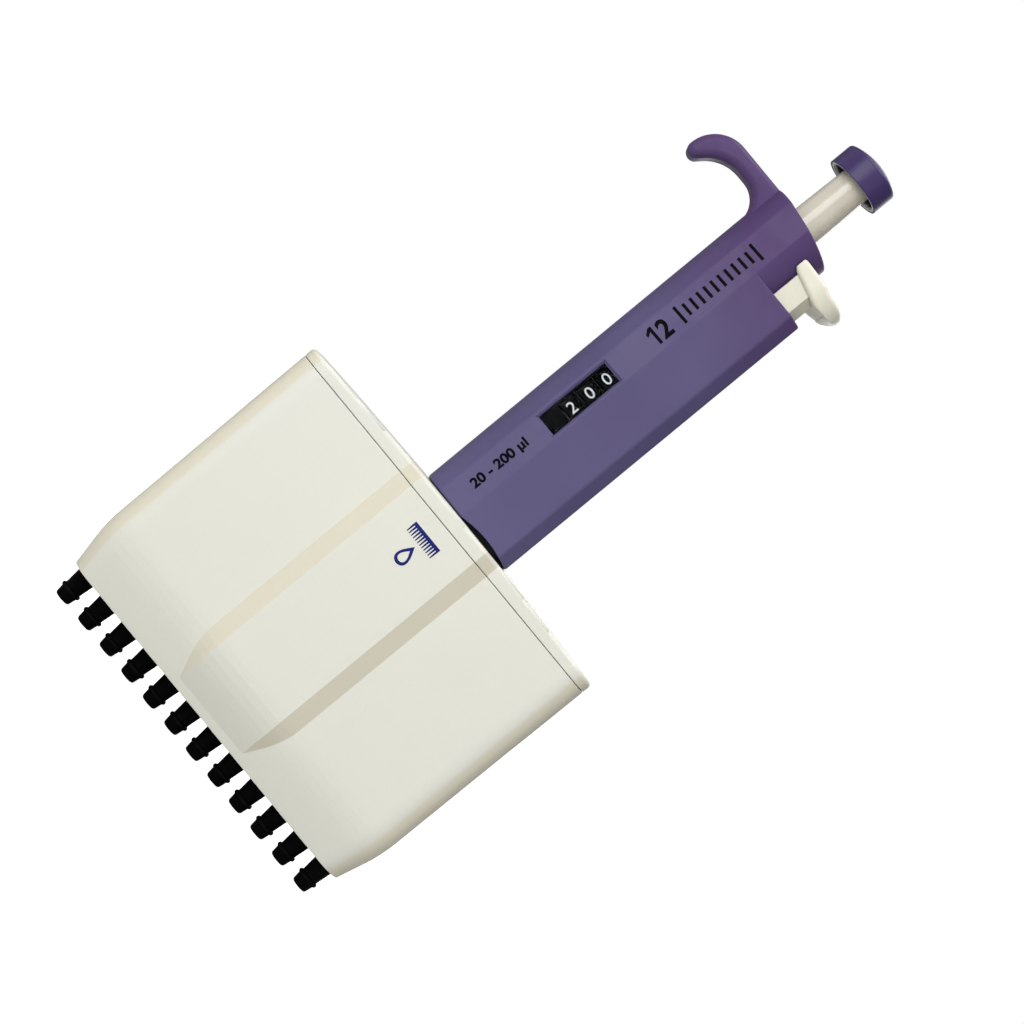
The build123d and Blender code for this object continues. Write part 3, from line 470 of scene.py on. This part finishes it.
def channel_count():
    """The numerals 12, with a flag and no foot on the 1."""
    bm = lettering("2", 0.03)
    low_x, _, low_y, high_y = extents(bm)
    stroke, wide, gap = 0.13, 0.34, 0.14
    droop = 0.17                   # how far the flag falls from the top of the 1
    right = low_x - gap
    left = right - wide
    prism(bm, [
        (right, high_y),
        (right - stroke, high_y),
        (left, high_y - droop),
        (left, high_y - droop - stroke),
        (right - stroke, high_y - droop),
        (right - stroke, low_y),
        (right, low_y),
    ], 1.0)
    return bm


facet_print("channel_print", channel_count(), low_z=163.4 * MM, high_z=169.9 * MM, height=5.6 * MM)


def add_mesh(bm, other):
    """Copies one mesh under construction into another, and frees it."""
    copies = {v: bm.verts.new(v.co) for v in other.verts}
    for face in other.faces:
        bm.faces.new([copies[v] for v in face.verts])
    other.free()


def channel_ticks():
    """One bar for each channel, up the window facet beside the channel count."""
    bm = bmesh.new()
    first, step, half_w = 173.6 * MM, 2.35 * MM, 0.42 * MM
    half_h, half_end_h = 1.9 * MM, 2.8 * MM    # the first and the last bar are taller
    for i in range(CHANNELS):
        tall = half_end_h if i in (0, CHANNELS - 1) else half_h
        bar = [(-half_w, -tall), (half_w, -tall), (half_w, tall), (-half_w, tall)]
        one = bmesh.new()
        prism(one, bar, 2 * PRINT_PROUD)
        one.transform(facet_matrix(first + i * step))
        add_mesh(bm, one)
    piece("channel_ticks", bm, black_ink, "handle", smooth=False)


channel_ticks()


# ---- digits on the counter drums ---------------------------------------------------------
DRUM_RIM = 4.4 * MM
DRUM_STEP = 0.55 * MM              # the collar under a drum's rim
DRUM_MIDDLES = {
    "hundreds_drum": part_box("hundreds_drum")[0].z + DRUM_RIM / 2,
    "tens_drum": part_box("tens_drum")[0].z + DRUM_STEP + DRUM_RIM / 2,
    "units_drum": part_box("units_drum")[1].z - DRUM_RIM / 2,
}
GLYPH_H = 0.72                     # height of a numeral of unit size
DIGIT_H = 3.5 * MM
DIGIT_LIFT = 0.02 * MM
DIGIT_TURN = math.radians(36.0)    # from one digit to the next round a drum
DIGIT_SLICE = 0.4 * MM             # a digit is cut across this often, to bend round the drum


def drum_digits(name, drum, shown, body):
    """Ten white digits round a drum, the shown one facing the window."""
    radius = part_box(drum)[1].x
    facing = math.atan2(FACET_OUT.y, FACET_OUT.x)
    grow = DIGIT_H / GLYPH_H
    bm = bmesh.new()
    for digit in range(10):
        one = lettering(str(digit))
        x0, x1 = extents(one)[:2]
        for v in one.verts:
            flat_x = (v.co.x - (x0 + x1) / 2) * grow
            flat_y = (v.co.y - GLYPH_H / 2) * grow
            v.co = Vector((flat_x, flat_y, v.co.z * 2 * DIGIT_LIFT))
        slice_up(one, DIGIT_SLICE)
        for v in one.verts:
            turn = facing + (shown - digit) * DIGIT_TURN - v.co.y / radius
            out = radius + v.co.z
            v.co = Vector((out * math.cos(turn), out * math.sin(turn), DRUM_MIDDLES[drum] + v.co.x))
        add_mesh(bm, one)
    piece(name, bm, white_ink, body)


drum_digits("hundreds_digits", "hundreds_drum", 2, "hundreds_wheel")
drum_digits("tens_digits", "tens_drum", 0, "tens_wheel")
drum_digits("units_digits", "units_drum", 0, "dial")


# ---- the mark on the manifold's band -----------------------------------------------------
BAND_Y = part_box("manifold_shell")[0].y
RIGHT, OUT = Vector((1.0, 0.0, 0.0)), Vector((0.0, -1.0, 0.0))


def drop_outline(width, height, count=48):
    """A drop with its point up, as points round a closed loop."""
    points = []
    for i in range(count):
        t = 2 * math.pi * i / count
        x = width / 2 * math.sin(t) * math.sin(t / 2) ** 1.3
        points.append((x, height / 2 * math.cos(t)))
    return points


def band_mark():
    """A comb of twelve tips over a drop, in blue: the sign for a twelve-channel head."""
    bm = bmesh.new()

    def place(outline, z, holes=()):
        one = bmesh.new()
        prism(one, outline, 2 * PRINT_PROUD, holes)
        one.transform(frame_matrix(Vector((0.0, BAND_Y, z)), RIGHT, UP, OUT))
        add_mesh(bm, one)

    bar_level, tip_level, drop_level = 85.8 * MM, 85.3 * MM, 78.6 * MM
    bar_x, bar_z = 4.9 * MM, 0.5 * MM
    place([(-bar_x, -bar_z), (bar_x, -bar_z), (bar_x, bar_z), (-bar_x, bar_z)], bar_level)
    wide, narrow, long, pitch = 0.30 * MM, 0.14 * MM, 2.4 * MM, 0.84 * MM
    for i in range(CHANNELS):
        x = (i - (CHANNELS - 1) / 2) * pitch
        place([(x - narrow, -long), (x + narrow, -long), (x + wide, 0), (x - wide, 0)], tip_level)
    outer = drop_outline(5.4 * MM, 6.4 * MM)
    inner = [(0.62 * x, 0.60 * y - 0.35 * MM) for x, y in outer]
    place(outer, drop_level, [inner])
    piece("band_mark", bm, blue_ink, "manifold", smooth=False)


band_mark()


# ---- springs -----------------------------------------------------------------------------
STEPS_A_TURN, STEPS_ROUND_WIRE = 36, 12


def coil(name, node, wire_r, active, dead=1.2):
    """A compression spring with closed ends, built in the box of a CAD spring, which it hides.

    active and dead are the turns that bend and the turns that lie closed at each end."""
    low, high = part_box(node)
    centre = (low + high) / 2
    mean_r = (high.x - low.x) / 2 - wire_r
    start, end = low.z + wire_r, high.z - wire_r
    turns = active + 2 * dead
    steps, around = int(turns * STEPS_A_TURN), STEPS_ROUND_WIRE
    pitch_dead = 2.1 * wire_r      # closed turns all but touch
    rise_active = end - start - 2 * dead * pitch_dead
    bm = bmesh.new()
    rings = []
    for i in range(steps + 1):
        turn = turns * i / steps
        if turn < dead:
            z = start + pitch_dead * turn
        elif turn > turns - dead:
            z = end - pitch_dead * (turns - turn)
        else:
            z = start + pitch_dead * dead + rise_active * (turn - dead) / active
        angle = 2 * math.pi * turn
        outwards = Vector((math.cos(angle), math.sin(angle), 0.0))
        middle = Vector((centre.x, centre.y, z)) + outwards * mean_r
        ring = []
        for k in range(around):
            bend = 2 * math.pi * k / around
            ring.append(bm.verts.new(middle + (outwards * math.cos(bend) + UP * math.sin(bend)) * wire_r))
        rings.append(ring)
    for one, two in zip(rings, rings[1:]):
        for k in range(around):
            bm.faces.new((one[k], one[(k + 1) % around], two[(k + 1) % around], two[k]))
    bm.faces.new(rings[0])
    bm.faces.new(rings[-1])
    made = piece(name, bm, finishes["steel"], "handle")
    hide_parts(node)
    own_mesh(made)


coil("return_coil", "return_spring", 0.4 * MM, 9)
coil("blowout_coil", "blowout_spring", 0.45 * MM, 2, dead=0.5)
coil("ejector_coil", "ejector_spring", 0.25 * MM, 11)


# ---- floor, light and camera -------------------------------------------------------------
def pale_floor():
    """A round floor under the nozzle tips, which fades into the white of the room."""
    mesh = bpy.data.meshes.new("floor")
    bm = bmesh.new()
    bmesh.ops.create_circle(bm, cap_ends=True, radius=4.0, segments=96)
    bm.to_mesh(mesh)
    bm.free()
    floor = bpy.data.objects.new("floor", mesh)
    floor.location.z = cad_box[0].z
    scene.collection.objects.link(floor)
    f = Finish("floor_finish")
    away = f.add("ShaderNodeVectorMath", {0: f.coords}, operation="LENGTH").outputs["Value"]
    seen = f.add("ShaderNodeLightPath").outputs["Is Camera Ray"]
    lift = f.calc(f.spread(away, 0.12, 0.7, 0.85, 0.95), seen, "MULTIPLY")
    tone = f.mix(seen, (0.50, 0.50, 0.49), (0.78, 0.78, 0.77))
    f.set(Base_Color=tone, Roughness=0.9, Specular_IOR_Level=0.0)
    f.set(Emission_Color=(1.0, 1.0, 1.0), Emission_Strength=lift)
    mesh.materials.append(f.material)


def white_room(ambient):
    """A world that the camera sees as white and the object as soft grey light."""
    world = bpy.data.worlds.new("room")
    scene.world = world
    world.use_nodes = True
    tree = world.node_tree
    path = tree.nodes.new("ShaderNodeLightPath")
    level = tree.nodes.new("ShaderNodeMapRange")
    level.inputs["To Min"].default_value = ambient
    level.inputs["To Max"].default_value = 1.0
    tree.links.new(path.outputs["Is Camera Ray"], level.inputs["Value"])
    background = tree.nodes["Background"]
    background.inputs["Color"].default_value = (1.0, 1.0, 1.0, 1.0)
    tree.links.new(level.outputs[0], background.inputs["Strength"])


AIM = Vector((0.009, 0.0, 0.107))  # the middle of the view
LIGHT_DISTANCE = 1.1
LIGHT_SIZE = 0.8


def softbox(name, direction, share, width=LIGHT_SIZE):
    """An upright area light that would light a white card facing it to this share of white."""
    light = bpy.data.lights.new(name, "AREA")
    light.shape = "RECTANGLE"
    light.size = width
    light.size_y = LIGHT_SIZE
    light.energy = share * math.pi ** 2 * LIGHT_DISTANCE ** 2
    lamp = bpy.data.objects.new(name, light)
    away = Vector(direction).normalized()
    lamp.location = AIM + away * LIGHT_DISTANCE
    lamp.rotation_euler = away.to_track_quat("Z", "Y").to_euler()
    scene.collection.objects.link(lamp)


def camera():
    """Looks straight at the front, rolled so that the plunger axis climbs to the right."""
    roll, distance = math.radians(39.5), 0.65
    right = Vector((math.sin(roll), 0.0, math.cos(roll)))
    up = Vector((-math.cos(roll), 0.0, math.sin(roll)))
    back = Vector((0.0, -1.0, 0.0))
    data = bpy.data.cameras.new("camera")
    data.sensor_width = 36.0
    data.lens = 85.9
    made = bpy.data.objects.new("camera", data)
    made.matrix_world = frame_matrix(AIM + back * distance, right, up, back)
    scene.collection.objects.link(made)
    scene.camera = made


pale_floor()
white_room(ambient=0.20)
softbox("key", (-0.36, -0.88, 0.35), share=0.80)
softbox("fill", (0.50, -0.80, 0.10), share=0.14)
softbox("strip", (-0.62, -0.79, 0.10), share=0.03, width=0.03)
softbox("top", (0.0, -0.1, 1.0), share=0.75)
softbox("rear", (0.30, 0.90, 0.35), share=0.30)
softbox("left", (-1.0, 0.1, 0.25), share=0.10)
camera()
scene.view_settings.view_transform = "Standard"
